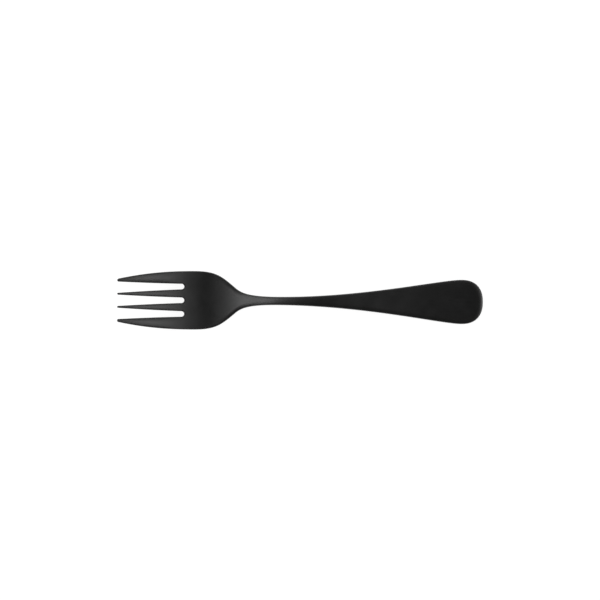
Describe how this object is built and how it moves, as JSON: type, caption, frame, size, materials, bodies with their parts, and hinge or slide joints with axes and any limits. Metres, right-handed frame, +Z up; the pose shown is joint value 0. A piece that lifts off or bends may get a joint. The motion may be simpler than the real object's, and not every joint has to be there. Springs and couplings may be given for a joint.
{
  "type": "cake fork",
  "caption": "Small table fork in satin black coated steel, with long tapering tines, a dished head, a slim arched neck and a handle that widens to a round end.",
  "frame": {"origin": "on the table under the middle of the fork's length, on its middle plane, with the fork lying on its back", "axes": "+X along the fork from the tine tips to the handle's end, +Y across the fork, +Z up out of the front face"},
  "size_m": [0.15, 0.024, 0.0142],
  "materials": {
    "black_coating": "thin satin black coating over finely blasted stainless steel"
  },
  "bodies": {
    "root": {"outer_tine_left": "black_coating", "inner_tine_left": "black_coating", "inner_tine_right": "black_coating", "outer_tine_right": "black_coating", "head": "black_coating", "neck": "black_coating", "handle": "black_coating"}
  },
  "joints": []
}
